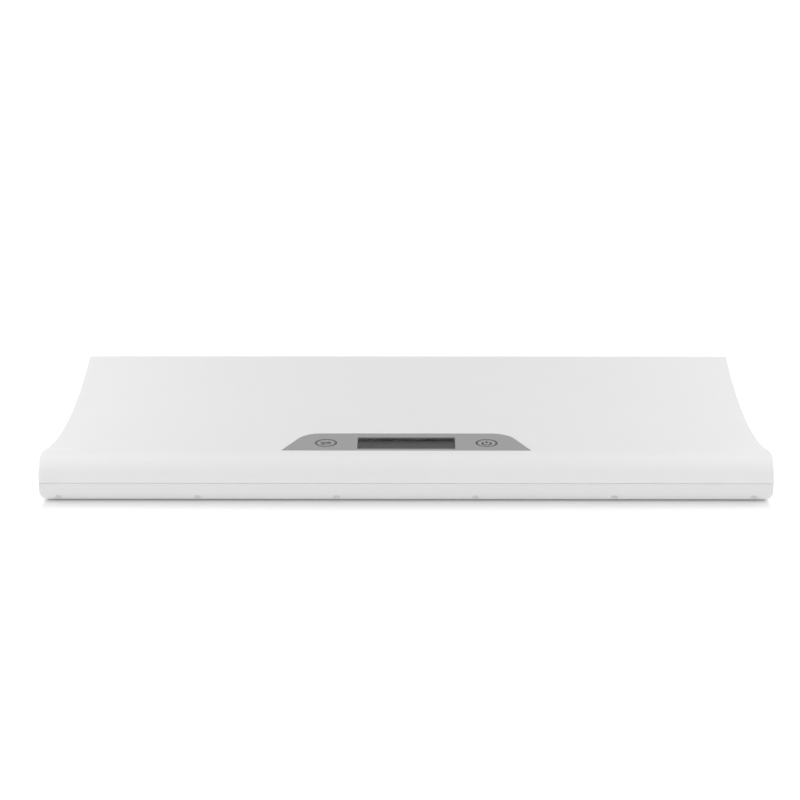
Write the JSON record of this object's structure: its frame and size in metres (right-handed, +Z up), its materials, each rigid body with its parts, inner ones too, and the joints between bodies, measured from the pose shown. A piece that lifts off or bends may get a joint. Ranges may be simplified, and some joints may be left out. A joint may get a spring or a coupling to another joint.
{
  "type": "digital baby weighing scale",
  "caption": "Low weighing scale with a wide shallow cradle tray, a grey console with display window and push buttons in its front edge, and flat rubber feet.",
  "frame": {"origin": "centre of the footprint, on the surface that the feet stand on", "axes": "+X to the right along the long side, -Y towards the user at the console side, +Z up"},
  "size_m": [0.55, 0.32, 0.0384],
  "materials": {
    "shell_white": "satin moulded",
    "base_white": "fine matt moulded",
    "panel_grey": "satin, fine grain",
    "button_grey": "satin",
    "window_clear": "clear, smoked",
    "lcd_dark": "polished, dark",
    "frame_white": "matt moulded",
    "board_green": "solder mask",
    "rubber_grey": "matt",
    "switch_black": "matt moulded",
    "steel": "bright",
    "battery_sleeve": "shrunk sleeve",
    "lead_grey": "smooth insulation"
  },
  "bodies": {
    "root": {"base_shell": "base_white", "battery_1": "battery_sleeve", "battery_2": "battery_sleeve", "battery_3": "battery_sleeve", "battery_contact_1": "steel", "battery_contact_2": "steel", "battery_contact_3": "steel", "battery_lead": "lead_grey", "battery_spring_1": "steel", "battery_spring_2": "steel", "battery_spring_3": "steel", "board_screw_1": "steel", "board_screw_2": "steel", "board_screw_3": "steel", "board_screw_4": "steel", "case_screw_1": "steel", "case_screw_10": "steel", "case_screw_11": "steel", "case_screw_12": "steel", "case_screw_2": "steel", "case_screw_3": "steel", "case_screw_4": "steel", "case_screw_5": "steel", "case_screw_6": "steel", "case_screw_7": "steel", "case_screw_8": "steel", "case_screw_9": "steel", "display_bezel": "panel_grey", "display_board": "board_green", "display_window": "window_clear", "foot_cup_front_left": "frame_white", "foot_cup_front_right": "frame_white", "foot_cup_rear_left": "frame_white", "foot_cup_rear_right": "frame_white", "foot_pad_front_left": "rubber_grey", "foot_pad_front_right": "rubber_grey", "foot_pad_rear_left": "rubber_grey", "foot_pad_rear_right": "rubber_grey", "lcd_contact_strip": "rubber_grey", "lcd_frame": "frame_white", "lcd_glass": "lcd_dark", "load_cell_clamp_front_left": "frame_white", "load_cell_clamp_front_right": "frame_white", "load_cell_clamp_rear_left": "frame_white", "load_cell_clamp_rear_right": "frame_white", "load_cell_front_left": "steel", "load_cell_front_right": "steel", "load_cell_lead_front_left": "lead_grey", "load_cell_lead_front_right": "lead_grey", "load_cell_lead_rear_left": "lead_grey", "load_cell_lead_rear_right": "lead_grey", "load_cell_rear_left": "steel", "load_cell_rear_right": "steel", "platform_shell": "shell_white", "power_switch": "switch_black", "unit_switch": "switch_black"},
    "unit_button": {"unit_button": "button_grey"},
    "power_button": {"power_button": "button_grey"},
    "battery_cover": {"battery_cover": "base_white"}
  },
  "joints": [
    {"name": "unit_button_press", "type": "slide", "parent": "root", "child": "unit_button", "axis": [0, 0.0872, -0.9962], "range_m": [0, 0.0005], "stiffness_N_per_m": 300},
    {"name": "power_button_press", "type": "slide", "parent": "root", "child": "power_button", "axis": [0, 0.0872, -0.9962], "range_m": [0, 0.0005], "stiffness_N_per_m": 300},
    {"name": "battery_cover_hinge", "type": "hinge", "parent": "root", "child": "battery_cover", "pos_m": [0, 0.08565, 0.0015], "axis": [1, 0, 0], "range_deg": [0, 45]}
  ]
}
